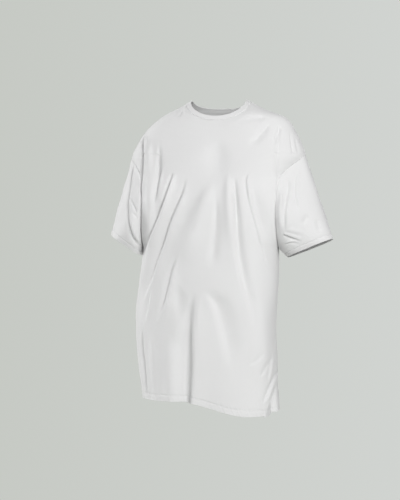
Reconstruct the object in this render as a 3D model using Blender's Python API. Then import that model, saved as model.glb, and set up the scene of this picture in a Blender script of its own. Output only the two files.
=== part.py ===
"""Patient gown: round neck, short set-in sleeves, side vents and a lapped back that closes with snaps.

The gown is shaped as it hangs on a wearer. +X is the wearer's left, -Y the front and +Z up. The origin is
the middle of the neck opening, level with the tops of the shoulder seams. All lengths are in metres.
"""

import math

import bmesh
import bpy
import numpy as np
from mathutils import Matrix, Vector

# Cloth
FABRIC = 0.0010  # thickness of one layer
SEAM_GAP = 0.0006  # each panel stops this short of the seam line
BINDING = 0.0022  # thickness of the folded neck binding
BINDING_WIDTH = 0.012
BINDING_SEAM_GAP = 0.0012

# The hanging shape, as (height, value) pairs from the top of the shoulder to the hem
HALF_WIDTH = [(0.0, 0.077), (-0.026, 0.123), (-0.055, 0.179), (-0.087, 0.208), (-0.12, 0.227),
              (-0.155, 0.240), (-0.19, 0.212), (-0.225, 0.188), (-0.30, 0.183), (-0.41, 0.188),
              (-0.50, 0.194), (-0.60, 0.195), (-0.72, 0.191), (-0.87, 0.186)]
CENTRE_X = [(0.0, 0.0), (-0.03, 0.001), (-0.055, 0.008), (-0.087, 0.002), (-0.155, -0.002), (-0.23, -0.018),
            (-0.41, -0.024), (-0.50, -0.030), (-0.61, -0.038), (-0.72, -0.033), (-0.87, -0.021)]
FRONT_DEPTH = [(0.0, 0.045), (-0.052, 0.085), (-0.12, 0.106), (-0.20, 0.126), (-0.30, 0.148),
               (-0.45, 0.145), (-0.60, 0.143), (-0.87, 0.150)]
BACK_DEPTH = [(0.0, 0.046), (-0.018, 0.066), (-0.06, 0.086), (-0.12, 0.099), (-0.18, 0.105), (-0.30, 0.106),
              (-0.42, 0.106), (-0.60, 0.116), (-0.87, 0.128)]
SQUARENESS = 3.0  # exponent of the superellipse that a level cut through the gown follows

# Seams
UNDERARM_Z = -0.41
ARMHOLE_TOP_Z = -0.155
ARMHOLE_FRONT = 0.46  # the share of the quarter turn that the front stops short of at the armhole
ARMHOLE_BACK = 0.32  # and the back
VENT_TOP_Z = -0.745
HEM_Z = -0.870
FRONT_HEM_RISE = 0.008  # the front's hem is this much higher than the back's
HEM_LIFT_RIGHT = 0.039  # the hem hangs higher at the wearer's right side
VENT_SPREAD_LEFT = 0.36  # share of the front's half turn that the open vent takes away
VENT_SPREAD_RIGHT = 0.10

# Neck
NECK_HALF_WIDTH = 0.0765
FRONT_NECK_DROP = 0.052
BACK_NECK_DROP = 0.014
NECK_SEAM_HALF_WIDTH = NECK_HALF_WIDTH + BINDING_WIDTH
NECK_STEPS = 8  # from a shoulder seam to the middle of the front

# Lapped back opening
FOLD_X = 0.088  # the flaps fold along nearly upright lines at this distance from the middle
FOLD_TOP_Y = 0.100  # the fold lines at the origin's height, just outside the cloth
FOLD_LEAN = 0.032  # they stand further back towards the hem, so the flaps fall closed
LAP_HALF = 0.028  # each flap runs this far past the middle of the back
LAP_GAP = 0.0056  # between the middles of the two layers
SNAP_HEIGHTS = [-0.062, -0.215, -0.365, -0.515]

# Sleeves: each turns about the wearer's shoulder joint
SHOULDER_X = 0.190
SHOULDER_Z = -0.070
# Outer and inner end of each sleeve's hem, as (x, z), and the half depth of its opening
SLEEVE_HEM_LEFT = ((0.314, -0.387), (0.189, -0.437), 0.068)
SLEEVE_HEM_RIGHT = ((-0.305, -0.374), (-0.224, -0.432), 0.080)
SLEEVE_FORWARD_TILT = 0.003  # the front of the sleeve's hem is this much higher than its middle
SLEEVE_CLEARANCE = 0.0022  # between the sleeve and the armhole edge

# Snap fasteners: cap, socket and stud radii and heights
CAP_RADIUS = 0.0058
CAP_HEIGHT = 0.0012
PRONG_RADIUS = 0.0010
PRONG_HOLE_RADIUS = 0.0015
STUD_BASE_RADIUS = 0.0046
KNOB_RADIUS = 0.0020
SOCKET_RADIUS = 0.0050
SOCKET_BORE = 0.0025
ROUND_SEGMENTS = 16

COLUMNS = 9  # from the middle of a panel to its side
ARMHOLE_ROWS = 10  # shared by the panels and the sleeves, so that their edges run side by side
SLEEVE_RINGS = 7


def smooth_curve(pairs):
    """A monotone cubic curve through (position, value) pairs, which never overshoots them."""
    place, value = np.array(sorted(pairs)).T
    step = np.diff(place)
    slope = np.diff(value) / step
    tangent = np.zeros(len(place))
    for i in range(1, len(place) - 1):
        if slope[i - 1] * slope[i] > 0:
            w1, w2 = 2 * step[i] + step[i - 1], step[i] + 2 * step[i - 1]
            tangent[i] = (w1 + w2) / (w1 / slope[i - 1] + w2 / slope[i])
    tangent[0], tangent[-1] = slope[0], slope[-1]

    def at(x):
        x = min(max(x, place[0]), place[-1])
        i = min(int(np.searchsorted(place, x, side="right")) - 1, len(step) - 1)
        t = (x - place[i]) / step[i]
        return (value[i] * (1 + 2 * t) * (1 - t) ** 2 + tangent[i] * step[i] * t * (1 - t) ** 2
                + value[i + 1] * t * t * (3 - 2 * t) + tangent[i + 1] * step[i] * t * t * (t - 1))

    return at


half_width = smooth_curve(HALF_WIDTH)
centre_x = smooth_curve(CENTRE_X)
front_depth = smooth_curve(FRONT_DEPTH)
back_depth = smooth_curve(BACK_DEPTH)


def smoothstep(t):
    t = min(max(t, 0.0), 1.0)
    return t * t * (3 - 2 * t)


def seam_angle(z, front):
    """The angle round the gown, from its middle, at which the cloth meets its side or armhole seam."""
    share = min(max((ARMHOLE_TOP_Z - z) / (ARMHOLE_TOP_Z - UNDERARM_Z), 0.0), 1.0)
    short = (ARMHOLE_FRONT if front else ARMHOLE_BACK) * abs(math.sin(math.pi * share)) ** 0.6
    return (1 - short) * math.pi / 2


def turn_at(x, z, front):
    """The share of the way round to the seam, from 0 in the middle to 1, at which a level cut reaches x."""
    share = min(abs(x - centre_x(z)) / half_width(z), 0.99999)
    end = seam_angle(z, front)
    return math.copysign(math.asin(share ** (SQUARENESS / 2) * math.sin(end)) / end, x - centre_x(z))


def hanging_point(turn, z, front):
    """A point of the gown's body: turn is -1 at the wearer's right side, 0 in the middle, 1 at the left."""
    end = seam_angle(z, front)
    angle = abs(turn) * end
    across = (math.sin(angle) / math.sin(end)) ** (2 / SQUARENESS)
    y = (front_depth(z) if front else back_depth(z)) * max(math.cos(angle), 0.0) ** (2 / SQUARENESS)
    y = max(y, SEAM_GAP)
    return Vector((centre_x(z) + math.copysign(half_width(z) * across, turn), -y if front else y, z))


def hem_height(x, front):
    """The hem's height, which rises towards the wearer's right side."""
    return HEM_Z + HEM_LIFT_RIGHT * smoothstep((0.10 - x) / 0.20) + (FRONT_HEM_RISE if front else 0.0)


def lowered(level, x, front):
    """Levels under the underarm are stretched so that the last one is the hem."""
    if level >= UNDERARM_Z:
        return level
    return UNDERARM_Z + (level - UNDERARM_Z) * (hem_height(x, front) - UNDERARM_Z) / (HEM_Z - UNDERARM_Z)


def ridge_height(x):
    """Height of the shoulder seam at distance x from the middle."""
    low, high = ARMHOLE_TOP_Z, 0.0
    for _ in range(30):
        z = (low + high) / 2
        low, high = (z, high) if half_width(z) > abs(x) else (low, z)
    return low


def neck_seam(angle, drop):
    """The seam under the neck binding, as (x, z), at an angle round the neck from the left shoulder seam."""
    ridge = ridge_height(NECK_SEAM_HALF_WIDTH)
    fall = drop + BINDING_WIDTH + ridge
    return NECK_SEAM_HALF_WIDTH * math.cos(angle), ridge - fall * abs(math.sin(angle))


def levels(*spans):
    """Heights from (start, end, steps) spans laid end to end."""
    found = [spans[0][0]]
    for start, end, steps in spans:
        found += [start + (end - start) * (i + 1) / steps for i in range(steps)]
    return found


def material(name, colour, roughness):
    made = bpy.data.materials.new(name)
    made.use_nodes = True
    shader = made.node_tree.nodes["Principled BSDF"]
    shader.inputs["Base Color"].default_value = (*colour, 1)
    shader.inputs["Roughness"].default_value = roughness
    return made


def add_object(name, mesh, made_of):
    mesh.materials.append(made_of)
    mesh.shade_smooth()
    mesh.set_sharp_from_angle(angle=math.radians(40))
    made = bpy.data.objects.new(name, mesh)
    bpy.context.scene.collection.objects.link(made)
    return made


def thicken(made, thickness):
    solid = made.modifiers.new("thickness", "SOLIDIFY")
    solid.thickness = thickness
    solid.offset = 0
    return made


def sheet(name, grids, outward, thickness, made_of):
    """Cloth through grids of points that share edges; outward(centre) is roughly the way its faces point."""
    shape = bmesh.new()
    for grid in grids:
        rows = [[shape.verts.new(p) for p in row] for row in grid]
        for upper, lower in zip(rows, rows[1:]):
            for a, b, c, d in zip(upper, upper[1:], lower[1:], lower):
                shape.faces.new((a, b, c, d))
    bmesh.ops.remove_doubles(shape, verts=shape.verts, dist=1e-5)
    bmesh.ops.recalc_face_normals(shape, faces=shape.faces)
    shape.faces.ensure_lookup_table()
    middle = shape.faces[len(shape.faces) // 2]
    if middle.normal.dot(outward(middle.calc_center_median())) < 0:
        bmesh.ops.reverse_faces(shape, faces=shape.faces)
    mesh = bpy.data.meshes.new(name)
    shape.to_mesh(mesh)
    shape.free()
    return thicken(add_object(name, mesh, made_of), thickness)


def from_axis(centre):
    return Vector((centre.x - centre_x(centre.z), centre.y, 0))


def front_edge_turn(z, side):
    """Where the front panel ends: at the side seam, and further forward down the open vent."""
    spread = VENT_SPREAD_LEFT if side > 0 else VENT_SPREAD_RIGHT
    return 1 - spread * smoothstep((VENT_TOP_Z - z) / (VENT_TOP_Z - HEM_Z))


def front_half(side):
    """Grid of half the front panel, from the neck or the middle out to the shoulder, armhole and side."""
    neck = [neck_seam(math.pi / 2 * (k + 0.15) / (NECK_STEPS + 0.15), FRONT_NECK_DROP)
            for k in range(NECK_STEPS + 1)]
    below = levels((neck[-1][1], ARMHOLE_TOP_Z, 4), (ARMHOLE_TOP_Z, UNDERARM_Z, ARMHOLE_ROWS),
                   (UNDERARM_Z, VENT_TOP_Z, 6), (VENT_TOP_Z, HEM_Z, 3))
    rows = []
    for edge, level in neck + [(0.0, z) for z in below[1:]]:
        start = turn_at(side * edge, level, True) if edge > 1e-4 else 0.0
        row = []
        for i in range(COLUMNS + 1):
            turn = start + (side * front_edge_turn(level, side) - start) * i / COLUMNS
            place = hanging_point(turn, level, True)
            z = lowered(level, place.x, True)
            row.append(hanging_point(turn, z, True))
        rows.append(row)
    return rows


def build_front_panel(cloth):
    sheet("front_panel", [front_half(1), front_half(-1)], from_axis, FABRIC, cloth)


def back_side_grid(side):
    """Grid of the part of a back panel that stays put: from the fold line out to the side."""
    rows = []
    for level in levels((-0.0082, -0.06, 3), (-0.06, ARMHOLE_TOP_Z, 4),
                        (ARMHOLE_TOP_Z, UNDERARM_Z, ARMHOLE_ROWS),
                        (UNDERARM_Z, VENT_TOP_Z, 6), (VENT_TOP_Z, HEM_Z, 3)):
        row = []
        for i in range(COLUMNS):
            z = level
            for _ in range(3):  # the hem's lift depends on x, and x on the height
                start = turn_at(side * (FOLD_X + SEAM_GAP), z, False)
                turn = start + (side - start) * i / (COLUMNS - 1)
                place = hanging_point(turn, z, False)
                z = lowered(level, place.x, False)
            row.append(place)
        rows.append(row)
    return rows


def lap_offset(x, z, over):
    """The upper flap stands off the lower one where they lap, and meets its panel's surface at its fold."""
    if not over:
        return 0.0
    slope = (back_depth(z + 0.001) - back_depth(z - 0.001)) / 0.002
    return LAP_GAP * math.hypot(1, slope) * smoothstep((FOLD_X - x) / (FOLD_X - LAP_HALF - 0.004))


def back_surface(x, z, over):
    place = hanging_point(turn_at(x, z, False), z, False)
    return Vector((x, place.y + lap_offset(x, z, over), z))


def flap_columns(over):
    """Positions across a flap, from its fold to its free edge, on a pitch that both flaps share."""
    pitch = LAP_HALF / 3
    lap = [i * pitch for i in range(3, -4, -1)]
    ramp = [LAP_HALF + (FOLD_X - LAP_HALF) * (4 - i) / 4 for i in range(4)]
    across = ramp + lap
    return across if over else [-x for x in across]


def flap_grid(over):
    columns = flap_columns(over)
    rows = []
    for share in levels((0.0, 0.08, 6), (0.08, 0.64, 22), (0.64, 1.0, 8)):
        row = []
        for x in columns:
            top = neck_seam(math.acos(x / NECK_SEAM_HALF_WIDTH), BACK_NECK_DROP)[1]
            z = top + (hem_height(x, False) - top) * share
            row.append(back_surface(x, z, over))
        rows.append(row)
    return rows


def snap_places():
    """The middle of the lower flap's layer at each snap, and the way out from the back there."""
    found = []
    for z in SNAP_HEIGHTS:
        middle = back_surface(0.0, z, False)
        along = back_surface(0.0, z + 0.01, False) - back_surface(0.0, z - 0.01, False)
        across = back_surface(0.01, z, False) - back_surface(-0.01, z, False)
        found.append((middle, along.cross(across).normalized() * -1))
    return [(middle, out if out.y > 0 else -out) for middle, out in found]


def punch(made, places, offset):
    """Cuts a prong hole through a flap at each snap."""
    cutter = bmesh.new()
    for middle, out in places:
        at = Matrix.Translation(middle + out * offset) @ out.to_track_quat("Z", "Y").to_matrix().to_4x4()
        bmesh.ops.create_cone(cutter, cap_ends=True, segments=12, radius1=PRONG_HOLE_RADIUS,
                              radius2=PRONG_HOLE_RADIUS, depth=0.006, matrix=at)
    mesh = bpy.data.meshes.new(made.name + "_holes")
    cutter.to_mesh(mesh)
    cutter.free()
    holes = bpy.data.objects.new(made.name + "_holes", mesh)
    bpy.context.scene.collection.objects.link(holes)
    holes.hide_render = True
    holes.display_type = "WIRE"
    cut = made.modifiers.new("prong_holes", "BOOLEAN")
    cut.operation = "DIFFERENCE"
    cut.object = holes


def build_back(cloth):
    for side, name in ((1, "back_side_left"), (-1, "back_side_right")):
        sheet(name, [back_side_grid(side)], from_axis, FABRIC, cloth)
    places = snap_places()
    for over, name in ((True, "back_flap_over"), (False, "back_flap_under")):
        flap = sheet(name, [flap_grid(over)], from_axis, FABRIC, cloth)
        punch(flap, places, LAP_GAP if over else 0.0)


def binding_grid(angles, drop, point):
    """Grid of a length of neck binding, from its edge down to its seam, at angles round the neck."""
    rows = []
    for share in (0.0, 0.5, 1.0):
        row = []
        for angle in angles:
            x, z = neck_seam(angle, drop)
            back = BINDING_WIDTH * (1 - share) + BINDING_SEAM_GAP
            row.append(point(x - back * math.cos(angle), z + back * abs(math.sin(angle))))
        rows.append(row)
    return rows


def build_neck_binding(cloth):
    """Three lengths: the front, and the back of the neck on each flap."""
    quarter = [math.pi / 2 * (k + 0.15) / (NECK_STEPS + 0.15) for k in range(NECK_STEPS + 1)]
    angles = quarter + [math.pi - a for a in quarter[-2::-1]]
    sheet("neck_binding_front",
          [binding_grid(angles, FRONT_NECK_DROP, lambda x, z: hanging_point(turn_at(x, z, True), z, True))],
          from_axis, BINDING, cloth)
    for over, name in ((True, "neck_binding_over"), (False, "neck_binding_under")):
        angles = [math.acos(x / NECK_SEAM_HALF_WIDTH) for x in flap_columns(over)]
        sheet(name, [binding_grid(angles, BACK_NECK_DROP, lambda x, z, over=over: back_surface(x, z, over))],
              from_axis, BINDING, cloth)


def armhole_loop(side):
    """Points of the armhole from its top, down the front to the underarm and up the back."""
    heights = levels((ARMHOLE_TOP_Z, UNDERARM_Z, ARMHOLE_ROWS))
    front = [hanging_point(side, z, True) for z in heights]
    back = [hanging_point(side, z, False) for z in heights[-2:0:-1]]
    front[0].y = front[-1].y = 0
    return front + back


def sleeve_hem_loop(outer, inner, half_depth):
    """Points of the sleeve's hem in the armhole's order: an ellipse that leans with the arm."""
    middle = Vector(((outer[0] + inner[0]) / 2, 0, (outer[1] + inner[1]) / 2))
    reach = Vector(((outer[0] - inner[0]) / 2, 0, (outer[1] - inner[1]) / 2))
    found = []
    for i in range(2 * ARMHOLE_ROWS):
        angle = math.pi * i / ARMHOLE_ROWS
        forward = math.sin(angle)
        found.append(middle + reach * math.cos(angle)
                     + Vector((0, -half_depth * forward, SLEEVE_FORWARD_TILT * forward)))
    return found


def build_sleeves(cloth):
    for side, name, hem in ((1, "sleeve_left", SLEEVE_HEM_LEFT), (-1, "sleeve_right", SLEEVE_HEM_RIGHT)):
        first, last = armhole_loop(side), sleeve_hem_loop(*hem)
        axis = sum(last, Vector()) / len(last) - sum(first, Vector()) / len(first)
        rows = []
        for k in range(SLEEVE_RINGS + 1):
            share = k / SLEEVE_RINGS
            clear = SLEEVE_CLEARANCE * (1 - share)
            row = [a.lerp(b, share) + ((b - a).normalized() + Vector((side, 0, 0))) * clear
                   for a, b in zip(first, last)]
            rows.append(row + row[:1])
        centre = sum(first + last, Vector()) / (2 * len(first))
        sheet(name, [rows], lambda c, centre=centre, axis=axis: (c - centre) - (c - centre).project(axis),
              FABRIC, cloth)


def turned(name, profile, middle, out, made_of):
    """A round piece: profile is (radius, height) pairs from axis to axis, with heights along out."""
    shape = bmesh.new()
    ring = [shape.verts.new((r, 0, h)) for r, h in profile]
    edges = [shape.edges.new(pair) for pair in zip(ring, ring[1:])]
    bmesh.ops.spin(shape, geom=ring + edges, cent=(0, 0, 0), axis=(0, 0, 1), angle=2 * math.pi,
                   steps=ROUND_SEGMENTS, use_merge=True)
    bmesh.ops.remove_doubles(shape, verts=shape.verts, dist=1e-6)
    bmesh.ops.recalc_face_normals(shape, faces=shape.faces)
    mesh = bpy.data.meshes.new(name)
    shape.to_mesh(mesh)
    shape.free()
    made = add_object(name, mesh, made_of)
    made.matrix_world = Matrix.Translation(middle) @ out.to_track_quat("Z", "Y").to_matrix().to_4x4()
    return made


def cap_profile(inner_face, away, through):
    """A cap lying away from its cloth, with a prong that reaches through the hole to height through."""
    crown = inner_face + away * CAP_HEIGHT
    return [(0, crown), (CAP_RADIUS * 0.75, crown), (CAP_RADIUS, crown - away * 0.0006),
            (CAP_RADIUS, inner_face), (PRONG_RADIUS, inner_face), (PRONG_RADIUS, through), (0, through)]


def build_snaps(plastic):
    """Four snaps down the back. Heights run outwards from the middle of the lower flap's layer."""
    face = FABRIC / 2 + 0.0005
    stud_top, knob_top = face + 0.0010, face + 0.0024
    socket_foot, socket_roof = stud_top + 0.0003, LAP_GAP - face
    for number, (middle, out) in enumerate(snap_places(), 1):
        turned(f"snap_cap_inner_{number}", cap_profile(-face, -1, face - 0.0003), middle, out, plastic)
        turned(f"snap_stud_{number}",
               [(0, face), (STUD_BASE_RADIUS, face), (STUD_BASE_RADIUS, stud_top),
                (KNOB_RADIUS * 0.85, stud_top), (KNOB_RADIUS, knob_top - 0.0005),
                (KNOB_RADIUS * 0.8, knob_top), (0, knob_top)], middle, out, plastic)
        turned(f"snap_socket_{number}",
               [(0, knob_top + 0.0003), (SOCKET_BORE, knob_top + 0.0003), (SOCKET_BORE, socket_foot),
                (SOCKET_RADIUS, socket_foot), (SOCKET_RADIUS, socket_roof - 0.0004),
                (SOCKET_RADIUS - 0.0004, socket_roof), (0, socket_roof)], middle, out, plastic)
        turned(f"snap_cap_outer_{number}",
               cap_profile(LAP_GAP + face, 1, LAP_GAP - face + 0.0003), middle, out, plastic)


def pivot(name, place, axis, moving):
    """An empty on a joint's axis, with its Z along the axis, that carries the pieces that move."""
    empty = bpy.data.objects.new(name, None)
    bpy.context.scene.collection.objects.link(empty)
    frame = Matrix.Translation(place) @ Vector(axis).to_track_quat("Z", "X").to_matrix().to_4x4()
    empty.matrix_world = frame
    for piece in moving:
        piece.parent = empty
        piece.matrix_parent_inverse = frame.inverted()


def named(*beginnings):
    return [o for o in bpy.data.objects if o.name.startswith(beginnings) and not o.hide_render]


def build_pivots():
    for side, name in ((1, "left"), (-1, "right")):
        pivot(f"sleeve_{name}_pivot", (side * SHOULDER_X, 0, SHOULDER_Z), (0, -side, 0),
              named(f"sleeve_{name}"))
    lean = Vector((0, FOLD_LEAN, -1)).normalized()
    pivot("flap_over_pivot", (FOLD_X, FOLD_TOP_Y, 0), lean,
          named("back_flap_over", "neck_binding_over", "snap_socket", "snap_cap_outer"))
    pivot("flap_under_pivot", (-FOLD_X, FOLD_TOP_Y, 0), -lean,
          named("back_flap_under", "neck_binding_under", "snap_stud", "snap_cap_inner"))


def main():
    for old in list(bpy.data.objects):
        bpy.data.objects.remove(old)
    cloth = material("white_cloth", (0.80, 0.80, 0.80), 0.85)
    plastic = material("white_plastic", (0.85, 0.85, 0.84), 0.35)
    build_front_panel(cloth)
    build_back(cloth)
    build_neck_binding(cloth)
    build_sleeves(cloth)
    build_snaps(plastic)
    build_pivots()


main()
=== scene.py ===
"""Looks of the patient gown: fine cloth with its folds, hems, seams, stitches, snaps, light and camera.

The gown's frame: +X is the wearer's left, -Y the front, +Z up, metres. The origin is the middle of the neck
opening, level with the tops of the shoulder seams. Folds, seams and hems are given there as (x, z) points.
"""

import math

import bpy
import numpy as np
from mathutils import Matrix, Vector


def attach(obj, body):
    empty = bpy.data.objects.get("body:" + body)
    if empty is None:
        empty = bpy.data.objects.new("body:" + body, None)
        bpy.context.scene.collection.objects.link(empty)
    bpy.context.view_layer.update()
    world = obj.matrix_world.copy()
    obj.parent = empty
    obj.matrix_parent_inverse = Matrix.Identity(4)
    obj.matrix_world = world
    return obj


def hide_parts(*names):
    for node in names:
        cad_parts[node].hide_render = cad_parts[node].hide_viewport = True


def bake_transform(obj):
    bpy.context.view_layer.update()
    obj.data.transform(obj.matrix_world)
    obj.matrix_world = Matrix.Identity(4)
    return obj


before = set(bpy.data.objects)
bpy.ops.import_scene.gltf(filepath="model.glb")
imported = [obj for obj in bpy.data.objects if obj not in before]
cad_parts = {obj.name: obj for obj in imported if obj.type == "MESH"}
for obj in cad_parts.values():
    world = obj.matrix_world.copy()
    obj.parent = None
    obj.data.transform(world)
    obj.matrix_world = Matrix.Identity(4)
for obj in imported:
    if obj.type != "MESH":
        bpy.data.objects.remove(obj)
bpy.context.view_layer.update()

# Cloth
CLOTH = 0.0009  # thickness of one layer
HEM_EXTRA = 0.0011  # the turned hem thickens the cloth inwards
HEM_WIDTH = 0.016
SLEEVE_HEM_WIDTH = 0.014
VENT_HEM_WIDTH = 0.011
BINDING_WIDTH = 0.012
BINDING_THICKNESS = 0.0026
HEM_GROOVE = 0.0012  # how deep the hem's stitches sink
SEAM_DIP = 0.0009  # how deep the cloth rolls in at a seam
SEAM_ROLL = 0.0022  # how wide that roll is
PUCKER = 0.00013  # height of each ripple along a hem
PUCKER_LENGTHS = [0.0083, 0.0127, 0.0191, 0.031]
STITCH_PITCH = 0.0032
STITCH_LENGTH = 0.0023
THREAD = 0.00034
HEM_STITCHES = 0.0015  # between a hem's row of stitches and its turned edge
NECK_STITCHES = 0.0028  # from the neck seam to its row
SEAM_STITCHES = 0.003  # from the armhole and shoulder seams to their row on the front
LAP_STITCHES = (0.0025, 0.0180)  # from a flap's free edge to its two rows
GROOVE_WIDTH = 0.0016
FOLD_EDGE = 0.0012  # width of the step at the inner edge of a turned hem

# Rows and columns of the cloth pieces' grids; a sleeve's columns go once round
FRONT_GRID = (300, 261)
BACK_GRID = (280, 150)
SLEEVE_GRID = (120, 192)
ROW_CLUSTER = 0.25  # how much closer together the rows lie near the seams and hems

# The backs and sleeves, as (side, piece, the CAD nodes or body it stands for, and the back's flap). Side 1 is
# the wearer's left, side -1 their right.
BACKS = ((1, "gown_back_left", ("back_side_left", "back_flap_over"), "flap_over"),
         (-1, "gown_back_right", ("back_side_right", "back_flap_under"), "flap_under"))
SLEEVES = ((1, "gown_sleeve_left", "sleeve_left"), (-1, "gown_sleeve_right", "sleeve_right"))

# Snaps
SNAP_FACE = 0.0010  # from the middle of a layer to the pieces on it
SNAP_CROWN = 0.0012
SNAP_SIDES = 40

# The hanging shape, as (height, value) pairs
HALF_WIDTH = [(0.0, 0.077), (-0.026, 0.123), (-0.055, 0.179), (-0.087, 0.208), (-0.12, 0.227),
              (-0.155, 0.240), (-0.19, 0.212), (-0.225, 0.188), (-0.30, 0.183), (-0.41, 0.188),
              (-0.50, 0.194), (-0.60, 0.195), (-0.72, 0.191), (-0.87, 0.186)]
CENTRE_X = [(0.0, 0.0), (-0.03, 0.001), (-0.055, 0.008), (-0.087, 0.002), (-0.155, -0.002), (-0.23, -0.018),
            (-0.41, -0.024), (-0.50, -0.030), (-0.61, -0.038), (-0.72, -0.033), (-0.87, -0.021)]
FRONT_DEPTH = [(0.0, 0.045), (-0.052, 0.085), (-0.12, 0.106), (-0.20, 0.126), (-0.30, 0.148), (-0.45, 0.145),
               (-0.60, 0.143), (-0.87, 0.150)]
BACK_DEPTH = [(0.0, 0.046), (-0.018, 0.066), (-0.06, 0.086), (-0.12, 0.099), (-0.18, 0.105), (-0.30, 0.106),
              (-0.42, 0.106), (-0.60, 0.116), (-0.87, 0.128)]
SQUARENESS = 3.0  # exponent of the superellipse that a level cut through the gown follows
UNDERARM_Z = -0.41
ARMHOLE_TOP_Z = -0.155
ARMHOLE_FRONT = 0.46  # the share of the quarter turn that the front stops short of at the armhole
ARMHOLE_BACK = 0.32  # and the back
ARMHOLE_POWERS = (0.42, 0.6)  # how roundly the armhole's edge comes back to the side, above and below
VENT_TOP_Z = -0.745
HEM_Z = -0.870
FRONT_HEM_RISE = 0.008  # the front's hem is this much higher than the back's
HEM_LIFT_RIGHT = 0.039  # the hem hangs higher at the wearer's right side
VENT_SPREAD_LEFT = 0.44  # share of the front's half turn that the open vent takes away
VENT_SPREAD_RIGHT = 0.10
VENT_WRAP = 0.52  # the back's left vent edge runs this far on, inside the front
WRAP_START = 0.12  # the share of a quarter turn in which it gets inside
WRAP_INSET = 0.020  # how far inside the front it runs
NECK_HALF_WIDTH = 0.0765
NECK_SEAM_HALF_WIDTH = NECK_HALF_WIDTH + BINDING_WIDTH
FRONT_NECK_DROP = 0.052
BACK_NECK_DROP = 0.014
FOLD_X = 0.088  # the upper flap starts to rise over the lower one here
LAP_HALF = 0.028  # each flap runs this far past the middle of the back
LAP_GAP = 0.0056  # between the middles of the two layers
SNAP_HEIGHTS = [-0.062, -0.215, -0.365, -0.515]
# Outer and inner end of each sleeve's hem, as (x, z), and the half depth of its opening
SLEEVE_HEM = {1: ((0.314, -0.387), (0.189, -0.437), 0.068), -1: ((-0.305, -0.374), (-0.220, -0.432), 0.080)}
SLEEVE_FORWARD_TILT = 0.003  # the front of the hem is this much higher than its middle
SLEEVE_SQUARENESS = 2.6
SLEEVE_FULLNESS = 0.014  # the sleeve swells this much between its seam and its hem

TUCK_DEPTH = {1: 0.002, -1: 0.006}  # how far the cloth sinks in along the armhole, below the shoulder
TUCK_WIDTH = {1: 0.004, -1: 0.005}
CREASE_WALL = 0.0026  # half the width of the steep wall between a crease's foot and its crest

# Camera and stage
CAMERA_TURN = 8.0  # degrees towards the wearer's left
CAMERA_DISTANCE = 3.0
CAMERA_AIM = (-0.056, -0.417)  # across the view and up, from the origin
VIEW_HEIGHT = 1.40  # of the frame, at the gown
FLOOR_Z = -1.47
FLOOR_RADIUS = 1.15
ROOM_LIGHT = 0.35  # what the walls give back to the cloth
# The backdrop seen by the camera, with painted light: painted shade at the left, painted light at the right
WALL_LEFT_PAINTED_SHADE = (0.563, 0.584, 0.548)
WALL_RIGHT_PAINTED_LIGHT = (0.637, 0.658, 0.637)
LIGHT_AIM = (0, 0, -0.42)
LIGHTS = {  # place, size and watts
    "key": ((1.3, -3.0, 0.6), (1.0, 1.0), 71.0),
    "side_left": ((2.8, -1.0, 0.1), (1.2, 1.6), 4.5),
    "side_right": ((-2.9, 0.5, 0.1), (1.2, 1.6), 57.0),
    "behind": ((-0.3, 3.2, 0.8), (1.4, 1.4), 40.0),
}

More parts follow.
